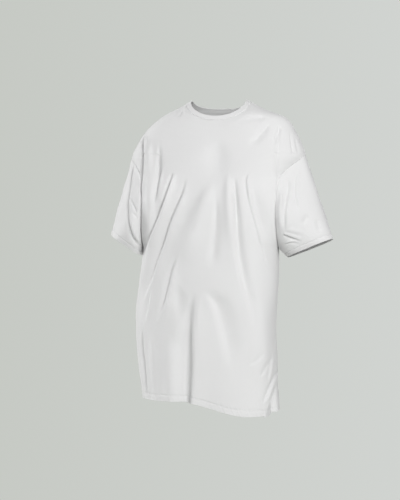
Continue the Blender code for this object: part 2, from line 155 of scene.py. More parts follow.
# Folds, each as (path from the top down, height, width to its left, width to its right, share faded at the
# top, share faded at the bottom). Left and right are as seen from outside at the front. A dip has a
# negative height.
FRONT_FOLDS = [
    # beside the wearer's right sleeve
    ([(-0.184, -0.095), (-0.179, -0.25), (-0.180, -0.40)], 0.006, 0.009, 0.012, 0.2, 0.3),
    ([(-0.155, -0.110), (-0.157, -0.214), (-0.160, -0.282), (-0.169, -0.350)],
     -0.009, 0.007, 0.013, 0.3, 0.3),
    ([(-0.140, -0.190), (-0.153, -0.260), (-0.176, -0.340)], 0.006, 0.007, 0.008, 0.3, 0.3),
    # soft folds under the chest
    ([(0.000, -0.225), (-0.028, -0.297), (-0.055, -0.364), (-0.104, -0.455)], 0.009, 0.020, 0.030, 0.3, 0.3),
    ([(0.010, -0.110), (0.008, -0.170), (0.014, -0.260)], -0.006, 0.030, 0.024, 0.4, 0.5),
    ([(0.009, -0.260), (0.003, -0.380), (-0.009, -0.470)], -0.006, 0.008, 0.014, 0.3, 0.3),
    ([(0.054, -0.215), (0.060, -0.300), (0.068, -0.417), (0.083, -0.500), (0.100, -0.570), (0.112, -0.650)],
     -0.010, 0.009, 0.013, 0.15, 0.6),
    ([(0.036, -0.205), (0.040, -0.300), (0.048, -0.420)], 0.006, 0.012, 0.012, 0.3, 0.4),
    ([(-0.100, -0.505), (-0.092, -0.560), (-0.084, -0.640)], -0.004, 0.014, 0.020, 0.4, 0.5),
    ([(-0.024, -0.518), (0.015, -0.577), (0.041, -0.673), (0.060, -0.760)], -0.009, 0.016, 0.034, 0.3, 0.5),
    ([(-0.064, -0.550), (-0.076, -0.700), (-0.080, -0.870)], -0.012, 0.026, 0.014, 0.5, 0.0),
    ([(-0.172, -0.640), (-0.166, -0.740), (-0.160, -0.835)], 0.004, 0.010, 0.016, 0.3, 0.0),
    # the hollow beside the fold that curves from the wearer's left chest to their side
    ([(0.108, -0.235), (0.112, -0.290), (0.124, -0.345), (0.138, -0.404)], -0.007, 0.014, 0.018, 0.35, 0.4),
    # creases near the shoulders and neck
    ([(0.172, -0.075), (0.166, -0.105), (0.158, -0.140)], -0.005, 0.005, 0.006, 0.3, 0.4),
    ([(0.146, -0.072), (0.120, -0.107), (0.086, -0.142)], -0.005, 0.008, 0.012, 0.3, 0.4),
    ([(0.199, -0.090), (0.205, -0.138), (0.213, -0.170)], -0.003, 0.003, 0.004, 0.3, 0.4),
    ([(0.212, -0.110), (0.224, -0.160)], -0.002, 0.003, 0.004, 0.3, 0.4),
    ([(0.135, -0.062), (0.112, -0.058), (0.050, -0.068)], -0.003, 0.006, 0.010, 0.3, 0.4),
    ([(-0.093, -0.024), (-0.108, -0.056)], -0.004, 0.005, 0.008, 0.3, 0.4),
    # small wrinkles above the hem at the wearer's left
    ([(0.092, -0.726), (0.114, -0.712), (0.134, -0.686)], -0.0020, 0.004, 0.008, 0.3, 0.4),
    ([(0.120, -0.762), (0.134, -0.735), (0.150, -0.705)], -0.0025, 0.005, 0.006, 0.3, 0.4),
    # long shallow swells, from the fullness between the shoulders and the hem
    ([(0.110, -0.480), (0.128, -0.640), (0.120, -0.800)], 0.005, 0.028, 0.022, 0.4, 0.3),
    ([(-0.120, -0.640), (-0.118, -0.740), (-0.112, -0.835)], 0.006, 0.020, 0.030, 0.4, 0.0),
]
# Creases: the cloth steps up from a foot on the left of the path to a crest on its right, or the other way
# round where the height is negative.
FRONT_CREASES = [
    # where the body of the gown tucks in behind the sleeves
    ([(-0.203, -0.090), (-0.198, -0.142), (-0.197, -0.200), (-0.200, -0.280)],
     0.010, 0.012, 0.012, 0.2, 0.15),
    ([(0.171, -0.075), (0.167, -0.134), (0.166, -0.205), (0.166, -0.250)], -0.0022, 0.006, 0.008, 0.2, 0.2),
    # drag lines from the chest down to the wearer's right hip
    ([(-0.109, -0.205), (-0.126, -0.261), (-0.143, -0.309), (-0.166, -0.363), (-0.186, -0.417),
      (-0.199, -0.466), (-0.211, -0.527), (-0.218, -0.600)], 0.010, 0.016, 0.022, 0.08, 0.3),
    ([(-0.072, -0.215), (-0.082, -0.261), (-0.099, -0.301), (-0.118, -0.345), (-0.134, -0.395),
      (-0.152, -0.444), (-0.167, -0.489), (-0.186, -0.535), (-0.206, -0.575)],
     0.0056, 0.016, 0.022, 0.22, 0.35),
    ([(-0.092, -0.420), (-0.111, -0.471), (-0.123, -0.520), (-0.137, -0.570), (-0.162, -0.622)],
     0.0055, 0.014, 0.020, 0.4, 0.35),
    ([(-0.170, -0.522), (-0.179, -0.566), (-0.191, -0.620)], 0.003, 0.008, 0.010, 0.3, 0.4),
    # the upright fold that falls to the hem
    ([(-0.048, -0.520), (-0.055, -0.577), (-0.060, -0.658), (-0.059, -0.738), (-0.066, -0.870)],
     0.0062, 0.024, 0.034, 0.35, 0.0),
    # beside the wearer's right side seam
    ([(-0.198, -0.590), (-0.196, -0.677), (-0.189, -0.740), (-0.182, -0.835)],
     0.0042, 0.007, 0.011, 0.3, 0.2),
    # the rolled edge of the open vent, and the crease above it
    ([(0.162, -0.748), (0.148, -0.790), (0.130, -0.836)], 0.004, 0.007, 0.008, 0.12, 0.3),
    ([(0.152, -0.690), (0.147, -0.735), (0.142, -0.780)], 0.0025, 0.006, 0.007, 0.3, 0.4),
    # the fold that curves from the wearer's left chest to their side
    ([(0.093, -0.210), (0.087, -0.232), (0.092, -0.271), (0.102, -0.311), (0.114, -0.355), (0.126, -0.404),
      (0.142, -0.460), (0.158, -0.500)], 0.0026, 0.012, 0.012, 0.15, 0.3),
]
BACK_FOLDS = [
    ([(0.150, -0.110), (0.160, -0.250), (0.158, -0.400)], -0.008, 0.007, 0.009, 0.2, 0.3),
    ([(-0.150, -0.110), (-0.178, -0.250), (-0.186, -0.400)], -0.009, 0.009, 0.007, 0.2, 0.3),
    ([(0.110, -0.160), (0.136, -0.320), (0.158, -0.520)], 0.009, 0.022, 0.009, 0.25, 0.35),
    ([(-0.110, -0.150), (-0.150, -0.320), (-0.190, -0.540)], 0.010, 0.009, 0.024, 0.25, 0.35),
    ([(0.075, -0.240), (0.098, -0.420), (0.120, -0.620)], 0.007, 0.024, 0.012, 0.3, 0.35),
    ([(-0.072, -0.260), (-0.104, -0.440), (-0.150, -0.660)], 0.007, 0.012, 0.024, 0.3, 0.35),
    ([(0.070, -0.560), (0.078, -0.700), (0.082, -0.870)], 0.010, 0.026, 0.012, 0.35, 0.0),
    ([(-0.092, -0.580), (-0.106, -0.720), (-0.112, -0.870)], 0.010, 0.012, 0.026, 0.35, 0.0),
    ([(-0.170, -0.560), (-0.172, -0.700), (-0.166, -0.870)], 0.007, 0.012, 0.018, 0.35, 0.0),
    ([(0.128, -0.600), (0.130, -0.740), (0.126, -0.870)], 0.006, 0.016, 0.012, 0.35, 0.0),
]
SLEEVE_FRONT_FOLDS = {
    1: [
        ([(0.178, -0.250), (0.176, -0.310), (0.176, -0.375)], 0.005, 0.007, 0.008, 0.3, 0.3),
        ([(0.190, -0.364), (0.214, -0.366), (0.240, -0.374)], 0.003, 0.006, 0.006, 0.3, 0.4),
        ([(0.250, -0.320), (0.236, -0.352)], -0.003, 0.008, 0.007, 0.4, 0.4),
        ([(0.272, -0.330), (0.282, -0.372)], -0.003, 0.007, 0.006, 0.4, 0.3),
    ],
    -1: [
        ([(-0.234, -0.268), (-0.224, -0.296), (-0.213, -0.318)], -0.003, 0.003, 0.003, 0.2, 0.3),
        ([(-0.226, -0.318), (-0.212, -0.330)], -0.0025, 0.003, 0.004, 0.3, 0.3),
        ([(-0.236, -0.374), (-0.222, -0.396), (-0.212, -0.408)], -0.004, 0.003, 0.004, 0.2, 0.3),
    ],
}
SLEEVE_CREASES = {
    1: [
        ([(0.222, -0.190), (0.216, -0.250), (0.219, -0.290), (0.231, -0.325)],
         0.003, 0.008, 0.010, 0.15, 0.4),
        ([(0.194, -0.212), (0.199, -0.250), (0.191, -0.304), (0.189, -0.375)],
         0.003, 0.010, 0.012, 0.2, 0.2),
        ([(0.182, -0.374), (0.202, -0.382), (0.236, -0.394)], 0.005, 0.007, 0.008, 0.15, 0.35),
        ([(0.184, -0.402), (0.206, -0.396), (0.228, -0.400)], 0.004, 0.004, 0.005, 0.2, 0.35),
    ],
    -1: [
        ([(-0.226, -0.160), (-0.232, -0.205), (-0.236, -0.271), (-0.235, -0.334), (-0.226, -0.376),
          (-0.215, -0.405)], 0.006, 0.012, 0.012, 0.10, 0.2),
    ],
}
SLEEVE_BACK_FOLDS = {
    1: [
        ([(0.206, -0.200), (0.214, -0.300), (0.222, -0.400)], -0.009, 0.007, 0.008, 0.2, 0.2),
        ([(0.236, -0.210), (0.252, -0.300), (0.264, -0.390)], 0.006, 0.014, 0.010, 0.3, 0.2),
        ([(0.185, -0.370), (0.215, -0.378)], -0.006, 0.005, 0.006, 0.3, 0.4),
    ],
    -1: [
        ([(-0.222, -0.200), (-0.232, -0.300), (-0.240, -0.395)], -0.009, 0.008, 0.007, 0.2, 0.2),
        ([(-0.248, -0.215), (-0.262, -0.300), (-0.272, -0.385)], 0.006, 0.010, 0.014, 0.3, 0.2),
        ([(-0.218, -0.372), (-0.246, -0.380)], -0.006, 0.005, 0.006, 0.3, 0.4),
    ],
}


# ---- curves and the hanging surface ----

def smooth_curve(pairs):
    """A function through (position, value) pairs that never overshoots them: monotone cubic interpolation."""
    place, value = np.array(sorted(pairs)).T
    step = np.diff(place)
    slope = np.diff(value) / step
    tangent = np.zeros(len(place))
    for i in range(1, len(place) - 1):
        if slope[i - 1] * slope[i] > 0:
            w1, w2 = 2 * step[i] + step[i - 1], step[i] + 2 * step[i - 1]
            tangent[i] = (w1 + w2) / (w1 / slope[i - 1] + w2 / slope[i])
    tangent[0], tangent[-1] = slope[0], slope[-1]

    def at(x):
        x = np.clip(x, place[0], place[-1])
        i = np.clip(np.searchsorted(place, x, side="right") - 1, 0, len(step) - 1)
        t = (x - place[i]) / step[i]
        return (value[i] * (1 + 2 * t) * (1 - t) ** 2 + tangent[i] * step[i] * t * (1 - t) ** 2
                + value[i + 1] * t * t * (3 - 2 * t) + tangent[i + 1] * step[i] * t * t * (t - 1))

    return at


half_width = smooth_curve(HALF_WIDTH)
centre_x = smooth_curve(CENTRE_X)
front_depth = smooth_curve(FRONT_DEPTH)
back_depth = smooth_curve(BACK_DEPTH)


def smoothstep(t):
    t = np.clip(t, 0.0, 1.0)
    return t * t * (3 - 2 * t)


def seam_angle(z, front):
    """The angle round the gown, from its middle, at which the cloth meets its side or armhole seam."""
    share = np.clip((ARMHOLE_TOP_Z - z) / (ARMHOLE_TOP_Z - UNDERARM_Z), 0, 1)
    power = np.where(share < 0.5, *ARMHOLE_POWERS)
    short = (ARMHOLE_FRONT if front else ARMHOLE_BACK) * np.abs(np.sin(math.pi * share)) ** power
    return (1 - short) * math.pi / 2


def turn_at(x, z, front):
    """The share of the way round to the seam, -1 to 1, at which a level cut through the gown reaches x."""
    share = np.clip((x - centre_x(z)) / half_width(z), -0.9999999, 0.9999999)
    end = seam_angle(z, front)
    return np.sign(share) * np.arcsin(np.abs(share) ** (SQUARENESS / 2) * np.sin(end)) / end


def hanging_points(turn, z, front):
    """Points of the gown's body, as an array with a last axis of 3."""
    end = seam_angle(z, front)
    angle = np.abs(turn) * end
    across = (np.sin(angle) / np.sin(end)) ** (2 / SQUARENESS)
    y = (front_depth(z) if front else back_depth(z)) * np.maximum(np.cos(angle), 0.0) ** (2 / SQUARENESS)
    return np.stack([centre_x(z) + np.sign(turn) * half_width(z) * across, -y if front else y, z], -1)


def wrapped_points(turn, z):
    """Points of the back, which past a side seam run on just inside the front."""
    past = np.maximum(np.abs(turn) - 1, 0)
    back = hanging_points(np.clip(turn, -1, 1), z, False)
    front = hanging_points(np.sign(turn) * (1 - past), z, True)
    inward = np.stack([-np.sign(turn), 1 + 0 * z, 0 * z], -1)
    inset = WRAP_INSET * smoothstep(past / WRAP_START)[..., None] * inward
    return np.where(past[..., None] > 0, front + inset, back)


def middle_of(points):
    """The middle of the gown at the height of each point."""
    z = points[..., 2]
    return np.stack([centre_x(z), np.zeros_like(z), z], -1)


def hem_height(x, front):
    """Height of the front's or back's hem at x."""
    return HEM_Z + HEM_LIFT_RIGHT * smoothstep((0.10 - x) / 0.20) + (FRONT_HEM_RISE if front else 0.0)


def ridge_height(x):
    """Height of the shoulder seam at distance x from the middle."""
    low, high = ARMHOLE_TOP_Z, 0.0
    for _ in range(30):
        z = (low + high) / 2
        low, high = (z, high) if half_width(z) > abs(x) else (low, z)
    return low


RIDGE_AT_NECK = ridge_height(NECK_SEAM_HALF_WIDTH)


def neck_seam(angle, drop):
    """The seam under the neck binding, as x and z, at angles round the neck from the left shoulder seam."""
    x = NECK_SEAM_HALF_WIDTH * np.cos(angle)
    return x, RIDGE_AT_NECK - (drop + BINDING_WIDTH + RIDGE_AT_NECK) * np.abs(np.sin(angle))


def neck_seam_height(turn, drop):
    """Height of the neck seam where it crosses a share of the half turn."""
    angle = np.linspace(math.pi, 0, 721)
    x, z = neck_seam(angle, drop)
    return np.interp(turn, turn_at(x, z, True), z)


def lap_offset(x, z):
    """How far the upper flap stands off the lower one."""
    slope = (back_depth(z + 0.001) - back_depth(z - 0.001)) / 0.002
    return LAP_GAP * np.hypot(1, slope) * smoothstep((FOLD_X - x) / (FOLD_X - LAP_HALF - 0.004))


# ---- folds ----

def spline(points, count=48):
    """A smooth line through points: Catmull-Rom, evenly sampled in each stretch."""
    p = np.array(points, float)
    p = np.vstack([2 * p[0] - p[1], p, 2 * p[-1] - p[-2]])
    found = []
    for u in np.linspace(0, len(points) - 1, count):
        i = min(int(u), len(points) - 2)
        t = u - i
        a, b, c, d = p[i:i + 4]
        found.append(0.5 * (2 * b + (c - a) * t + (2 * a - 5 * b + 4 * c - d) * t * t
                            + (3 * b - a - 3 * c + d) * t ** 3))
    return np.array(found)


def fold_height(x, z, fold, crease=False):
    """How far one fold or crease lifts the cloth at (x, z)."""
    path, height, left, right, fade_top, fade_bottom = fold
    line = spline(path)
    reach = 3.5 * max(left, right)
    low, high = line.min(0) - reach, line.max(0) + reach
    near = (x > low[0]) & (x < high[0]) & (z > low[1]) & (z < high[1])
    lift = np.zeros_like(x)
    if not near.any():
        return lift
    place = np.stack([x[near], z[near]], -1)
    start, along = line[:-1], np.diff(line, axis=0)
    length = np.linalg.norm(along, axis=1)
    rel = place[:, None, :] - start[None]
    t = np.clip((rel * along).sum(-1) / length ** 2, 0, 1)
    gap = rel - t[..., None] * along
    distance = np.linalg.norm(gap, axis=-1)
    best = distance.argmin(1)
    rows = np.arange(len(best))
    side = along[best, 1] * gap[rows, best, 0] - along[best, 0] * gap[rows, best, 1]
    distance = distance[rows, best]
    share = (best + t[rows, best]) / len(along)
    width = np.where(side < 0, right, left) * (0.45 + 0.55 * smoothstep(share / 0.5))
    shape = np.exp(-(distance / width) ** 2)
    if crease:
        shape = shape * np.tanh(-np.sign(side) * distance / CREASE_WALL)
    fade = np.ones_like(share)
    if fade_top > 0:
        fade = fade * smoothstep(share / fade_top)
    if fade_bottom > 0:
        fade = fade * smoothstep((1 - share) / fade_bottom)
    lift[near] = height * shape * fade
    return lift


def fold_lift(x, z, folds, creases=()):
    """How far all the folds and creases together lift the cloth."""
    return (sum(fold_height(x, z, fold) for fold in folds)
            + sum(fold_height(x, z, crease, True) for crease in creases))


def soft_noise(points, scale, height, seed):
    """Gentle unevenness: a few waves in seeded directions."""
    rng = np.random.default_rng(seed)
    lift = np.zeros(points.shape[:-1])
    for _ in range(9):
        way = rng.normal(size=3)
        way = way / np.linalg.norm(way) * rng.uniform(0.6, 1.6) * 2 * math.pi / scale
        lift += np.sin(points @ way + rng.uniform(0, 2 * math.pi))
    return lift * height / 3


# ---- building cloth ----

def grid_normals(points, closed=False):
    """Unit normals of a grid of points, facing away from the gown's inside."""
    if closed:
        across = np.roll(points, -1, 1) - np.roll(points, 1, 1)
    else:
        across = np.gradient(points, axis=1)
    down = np.gradient(points, axis=0)
    normal = np.cross(across, down)
    size = np.linalg.norm(normal, axis=-1, keepdims=True)
    return normal / np.maximum(size, 1e-12)


def faced(normal, points, centre):
    """Normals turned to point away from centre, a point for each grid point."""
    flip = ((points - centre) * normal).sum(-1).mean() < 0
    return -normal if flip else normal


def new_piece(name, points, faces, uv=None, sharp=None, flip=False):
    """A smooth piece with sharp edges above an angle in degrees; uv has a pair for each point."""
    mesh = bpy.data.meshes.new(name)
    mesh.from_pydata(points, [], faces)
    if flip:
        mesh.flip_normals()
    if uv is not None:
        corner = np.zeros(len(mesh.loops), np.int64)
        mesh.loops.foreach_get("vertex_index", corner)
        mesh.uv_layers.new(name="cloth").data.foreach_set("uv", uv[corner].ravel())
    mesh.shade_smooth()
    if sharp:
        mesh.set_sharp_from_angle(angle=math.radians(sharp))
    made = bpy.data.objects.new(name, mesh)
    bpy.context.scene.collection.objects.link(made)
    return made


def shell(name, outer, inner, uv, closed=False):
    """A closed piece of cloth between an outer and an inner grid; closed grids join round their columns."""
    rows, columns = outer.shape[:2]
    points = np.concatenate([outer.reshape(-1, 3), inner.reshape(-1, 3)])
    index = np.arange(rows * columns).reshape(rows, columns)
    if closed:
        index = np.concatenate([index, index[:, :1]], 1)
    top = np.stack([index[:-1, :-1], index[:-1, 1:], index[1:, 1:], index[1:, :-1]], -1).reshape(-1, 4)
    count = rows * columns
    faces = [top, top[:, ::-1] + count]
    rims = [index[0, ::-1], index[-1, :]]
    if not closed:
        rims += [index[:, 0], index[::-1, -1]]
    for rim in rims:
        faces.append(np.stack([rim[:-1], rim[1:], rim[1:] + count, rim[:-1] + count], -1)[:, ::-1])
    faces = np.concatenate(faces)
    flat = np.concatenate([uv.reshape(-1, 2), uv.reshape(-1, 2)])
    return new_piece(name, points.tolist(), faces.tolist(), flat, 60, signed_volume(points, faces) < 0)


def cloth_piece(name, base, points, out, turned, closed=False):
    """Cloth round the middle surface, points, with its turned hems thicker on the inside."""
    outer = points + out * (CLOTH / 2)
    inner = points - out * (CLOTH / 2 + HEM_EXTRA * turned)[..., None]
    return shell(name, outer, inner, cloth_uv(base), closed)


def signed_volume(points, faces):
    a, b, c, d = (points[faces[:, i]] for i in range(4))
    return (np.cross(a, b) * c).sum() + (np.cross(a, c) * d).sum()


def lengths_along(points, axis):
    step = np.linalg.norm(np.diff(points, axis=axis), axis=-1)
    zero = np.zeros_like(np.take(step, [0], axis=axis))
    return np.concatenate([zero, np.cumsum(step, axis=axis)], axis=axis)


def cloth_uv(points):
    """Metres along the weave: across from the middle column, and down from the first row."""
    across = lengths_along(points, 1)
    across = across - across[:, across.shape[1] // 2][:, None]
    return np.stack([across, -lengths_along(points, 0)], -1)


def puckers(along, to_hem, seed):
    """Small ripples that the hem's stitches draw up, dying away above them."""
    rng = np.random.default_rng(seed)
    ripple = sum(np.sin(along * 2 * math.pi / length + rng.uniform(0, 2 * math.pi))
                 for length in PUCKER_LENGTHS)
    return PUCKER * ripple * np.exp(-(np.maximum(to_hem - HEM_WIDTH, 0) / 0.010) ** 2)


def near_edge(distance):
    """How far the cloth rolls in at a seam, by the distance to the seam."""
    return -SEAM_DIP * np.exp(-(distance / SEAM_ROLL) ** 2)


def hem_groove(to_hem, width):
    """How far the stitches pull the cloth in along the top of a hem."""
    return HEM_GROOVE * np.exp(-((to_hem - width) / GROOVE_WIDTH) ** 2)


def turned_edge(distance, width):
    """1 where an edge is turned in, and 0 beyond the turned width."""
    return smoothstep((width - distance) / FOLD_EDGE + 0.5)


def tuck(points, distance, side):
    """How far back the front sinks where body and sleeve meet, by the distance to the armhole seam."""
    z = points[..., 2]
    along = smoothstep((ARMHOLE_TOP_Z - 0.02 - z) / 0.06) * smoothstep((z - UNDERARM_Z + 0.03) / 0.05)
    width = np.where(side > 0, TUCK_WIDTH[1], TUCK_WIDTH[-1])
    depth = np.where(side > 0, TUCK_DEPTH[1], TUCK_DEPTH[-1])
    near = np.exp(-(distance / width) ** 2)
    return depth * along * near * smoothstep(-points[..., 1] / 0.02)


def eased(count, cluster=0.35):
    """Shares from 0 to 1 that lie closer together near both ends."""
    u = np.linspace(0, 1, count)
    return u * (1 - cluster) + (1 - np.cos(math.pi * u)) / 2 * cluster


def row_shares(count, first):
    """Shares from a piece's seam to its hem, with two rows close behind the seam."""
    return np.concatenate([[0, first, 2 * first], eased(count, ROW_CLUSTER)[2:]])


# ---- the body of the gown ----

def front_grid():
    """Base points of the front panel, with the turn of each column."""
    rows, columns = FRONT_GRID
    turns = eased(columns) * 2 - 1
    top = neck_seam_height(turns, FRONT_NECK_DROP)
    turn, share = np.meshgrid(turns, row_shares(rows, 0.002))
    z = top + (HEM_Z - top) * share
    spread = np.where(turn > 0, VENT_SPREAD_LEFT, VENT_SPREAD_RIGHT)
    for _ in range(3):
        edge = 1 - spread * smoothstep((VENT_TOP_Z - z) / (VENT_TOP_Z - HEM_Z))
        points = hanging_points(turn * edge, z, True)
        z = top + (hem_height(points[..., 0], True) - top) * share
    return hanging_points(turn * edge, z, True), turn


def fold_fade(z, to_side, edge, to_neck):
    """Folds die away towards the neck and side seams, but not at the open edges of the vents."""
    open_edge = smoothstep((VENT_TOP_Z + 0.03 - z) / 0.05)
    return (smoothstep(to_side / edge) * (1 - open_edge) + open_edge) * smoothstep(to_neck / 0.02)


def panel(name, base, lift, to_side, to_hem, seed, tucked=0.0):
    """A panel from its base points and their lift by folds; adds the seams, hem stitches and vent edges."""
    middle = middle_of(base)
    vent = smoothstep((VENT_TOP_Z - 0.004 - base[..., 2]) / 0.008)
    lift = lift + near_edge(lengths_along(base, 0)) + near_edge(to_side) * (1 - vent)
    lift = lift - hem_groove(to_hem, HEM_WIDTH)
    lift = lift + puckers(lengths_along(base, 1), to_hem, seed)
    points = base + faced(grid_normals(base), base, middle) * lift[..., None]
    points[..., 1] += tucked
    out = faced(grid_normals(points), points, middle)
    turned = np.maximum(turned_edge(to_hem, HEM_WIDTH), turned_edge(to_side, VENT_HEM_WIDTH) * vent)
    return cloth_piece(name, base, points, out, turned), points, out


def build_front():
    base, turn = front_grid()
    x, z = base[..., 0], base[..., 2]
    across = lengths_along(base, 1)
    to_side = np.minimum(across, across[:, -1:] - across)
    fade = fold_fade(z, to_side, 0.010, lengths_along(base, 0))
    lift = fold_lift(x, z, FRONT_FOLDS, FRONT_CREASES) + soft_noise(base, scale=0.11, height=0.0012, seed=3)
    made, points, out = panel("gown_front", base, lift * fade, to_side, z - hem_height(x, True), seed=21,
                              tucked=tuck(base, to_side, turn))
    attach(made, "gown_body")
    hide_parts("front_panel")
    return made, points, out


def back_hem_rise(turn):
    """The back's hem meets the front's at the left side, dips, and hides behind the front's corner."""
    return FRONT_HEM_RISE * (smoothstep((turn - 0.7) / 0.3) - smoothstep((turn - 1.0) / 0.36)
                             + 1.5 * smoothstep((turn - 1.36) / 0.08))


def back_grid(side):
    """Base points of a back panel, from the free edge of its lap out to its side seam."""
    rows, columns = BACK_GRID
    cut, share = np.meshgrid(eased(columns), row_shares(rows, 0.002))
    edge_x = np.full_like(cut, -side * LAP_HALF)
    top = np.full_like(cut, -0.05)
    z = top
    for _ in range(6):
        free = turn_at(edge_x, top, False)
        top = neck_seam_height(free + (side - free) * cut, BACK_NECK_DROP)
    for _ in range(4):
        free = turn_at(edge_x, z, False)
        wrap = VENT_WRAP * smoothstep((VENT_TOP_Z - z) / (VENT_TOP_Z - HEM_Z)) if side > 0 else 0
        turn = free + (side * (1 + wrap) - free) * cut
        points = wrapped_points(turn, z)
        z = top + (hem_height(points[..., 0], False) + back_hem_rise(turn) - top) * share
    points = wrapped_points(turn, z)
    if side > 0:
        points[..., 1] += lap_offset(points[..., 0], points[..., 2])
    return points


def build_back(side, name, nodes, flap):
    base = back_grid(side)
    x, z = base[..., 0], base[..., 2]
    to_free = lengths_along(base, 1)
    to_side = to_free[:, -1:] - to_free
    fade = fold_fade(z, to_side, 0.016, lengths_along(base, 0)) * smoothstep((to_free - 0.050) / 0.03)
    lift = fold_lift(x, z, BACK_FOLDS) + soft_noise(base, scale=0.11, height=0.0012, seed=5)
    made, points, out = panel(name, base, lift * fade, to_side, z - hem_height(x, False), seed=22 + side)
    blend_flap(made, side, flap)
    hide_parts(*nodes)
    return made, points, out


def blend_flap(made, side, flap):
    """Bakes the piece's place into its mesh."""
    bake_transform(made)


# ---- sleeves ----

def sleeve_grid(side):
    """Base points of a sleeve: rows from the armhole to the hem, columns once round from its top."""
    rows, columns = SLEEVE_GRID
    u = (1 - np.cos(np.linspace(0, math.pi, columns // 2 + 1))) / 2
    z = ARMHOLE_TOP_Z + (UNDERARM_Z - ARMHOLE_TOP_Z) * u
    seam = np.full_like(z, side)
    front = hanging_points(seam, z, True)
    back = hanging_points(seam, z, False)[-2:0:-1]
    first = np.concatenate([front, back])
    outer, inner, depth = SLEEVE_HEM[side]
    angle = np.linspace(0, 2 * math.pi, columns, endpoint=False)
    mid = np.array([(outer[0] + inner[0]) / 2, 0, (outer[1] + inner[1]) / 2])
    reach = np.array([(outer[0] - inner[0]) / 2, 0, (outer[1] - inner[1]) / 2])
    around, forward = (np.sign(way) * np.abs(way) ** (2 / SLEEVE_SQUARENESS)
                       for way in (np.cos(angle), np.sin(angle)))
    last = (mid + reach * around[:, None]
            + np.array([0, -depth, SLEEVE_FORWARD_TILT]) * forward[:, None])
    share = row_shares(rows, 0.006)[:, None, None]
    points = first * (1 - share) + last * share
    fullness = SLEEVE_FULLNESS * np.sin(math.pi * share[..., 0]) * np.abs(np.sin(angle))
    points[..., 1] -= np.sign(np.sin(angle)) * fullness
    return points


def build_sleeve(side, name, body):
    base = sleeve_grid(side)
    x, y, z = (base[..., i] for i in range(3))
    middle = base.mean(1, keepdims=True)
    out = faced(grid_normals(base, closed=True), base, middle)
    front = smoothstep(0.5 - y / 0.02)
    from_seam = lengths_along(base, 0)
    to_hem = from_seam[-1:] - from_seam
    fade = smoothstep(from_seam / 0.012) * smoothstep(np.abs(y) / 0.02)
    lift = (fold_lift(x, z, SLEEVE_FRONT_FOLDS[side], SLEEVE_CREASES[side]) * front
            + fold_lift(x, z, SLEEVE_BACK_FOLDS[side]) * (1 - front)) * fade
    unevenness = soft_noise(base, scale=0.09, height=0.0010, seed=7 + side)
    lift = lift + unevenness * smoothstep(from_seam / 0.02)
    lift = lift + near_edge(from_seam)
    lift = lift - hem_groove(to_hem, SLEEVE_HEM_WIDTH)
    points = base + out * lift[..., None]
    points[..., 1] += tuck(base, from_seam, side)
    out = faced(grid_normals(points, closed=True), points, middle)
    made = cloth_piece(name, base, points, out, turned_edge(to_hem, SLEEVE_HEM_WIDTH), closed=True)
    blend_sleeve(made, side, body)
    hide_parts(body)
    return made, points, out


def blend_sleeve(made, side, body):
    """Bakes the piece's place into its mesh."""
    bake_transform(made)


# ---- neck binding ----

def binding_profile():
    """The folded binding's cut, as (share from the opening's edge to the seam, height) pairs round it."""
    half = BINDING_THICKNESS / 2
    lip = [(0.08 * (1 - math.cos(a)), half * math.sin(a)) for a in np.linspace(-math.pi / 2, math.pi / 2, 9)]
    crown = [(s, half * (1 - 0.12 * math.sin(math.pi * s))) for s in np.linspace(0.16, 0.94, 9)]
    end = [(0.985, half * 0.7), (1.0, 0.0), (0.985, -half * 0.7)]
    under = [(s, -half) for s in np.linspace(0.94, 0.16, 7)]
    return lip + crown + end + under


def build_binding(name, angles, drop, at, ride, node):
    """A folded tape round part of the neck; at(x, z) gives points of the cloth that it lies on."""
    def tape_line(share):
        half = max(NECK_SEAM_HALF_WIDTH - BINDING_WIDTH * (1 - share), float(half_width(0.0)))
        top = ridge_height(half)
        z = top - (drop + BINDING_WIDTH * share + top) * np.abs(np.sin(angles))
        return at(centre_x(top) + half * np.cos(angles), z)

    strips = 12
    tape = np.stack([tape_line(share) for share in np.linspace(0, 1, strips + 1)], 1)
    out = faced(grid_normals(tape), tape, np.array([0, 0, -0.2]))
    rings = []
    for share, height in binding_profile():
        strip = min(int(share * strips), strips - 1)
        part = share * strips - strip
        rings.append(tape_line(share) + height * (out[:, strip] * (1 - part) + out[:, strip + 1] * part))
    rings = np.stack(rings, 1)
    rows, columns = rings.shape[:2]
    index = np.arange(rows * columns).reshape(rows, columns)
    after = np.roll(index, -1, 1)
    faces = np.stack([index[:-1], after[:-1], after[1:], index[1:]], -1).reshape(-1, 4)
    caps = [index[0][::-1].tolist(), index[-1].tolist()]
    flat = rings.reshape(-1, 3)
    if signed_volume(flat, faces) < 0:
        faces = faces[:, ::-1]
        caps = [cap[::-1] for cap in caps]
    along = lengths_along(rings, 0)
    uv = np.stack([along, np.broadcast_to(np.linspace(0, 2.4 * BINDING_WIDTH, columns), along.shape)], -1)
    made = new_piece(name, flat.tolist(), faces.tolist() + caps, uv.reshape(-1, 2), 60)
    ride(made)
    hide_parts(node)
    return made


def on_front(x, z):
    return hanging_points(turn_at(x, z, True), z, True)


def on_under_flap(x, z):
    return hanging_points(turn_at(x, z, False), z, False)


def on_over_flap(x, z):
    points = on_under_flap(x, z)
    points[..., 1] += lap_offset(x, z)
    return points


def surface_near(at, x, z):
    """Points of a surface given over (x, z), and its outward normals there."""
    points = at(x, z)
    step = 0.0006
    across = at(x + step, z) - at(x - step, z)
    up = at(x, z + step) - at(x, z - step)
    normal = np.cross(across, up)
    normal = normal / np.maximum(np.linalg.norm(normal, axis=-1, keepdims=True), 1e-12)
    outward = np.sign(points[..., 1])[..., None]
    return points, normal * np.sign(normal[..., 1:2]) * outward


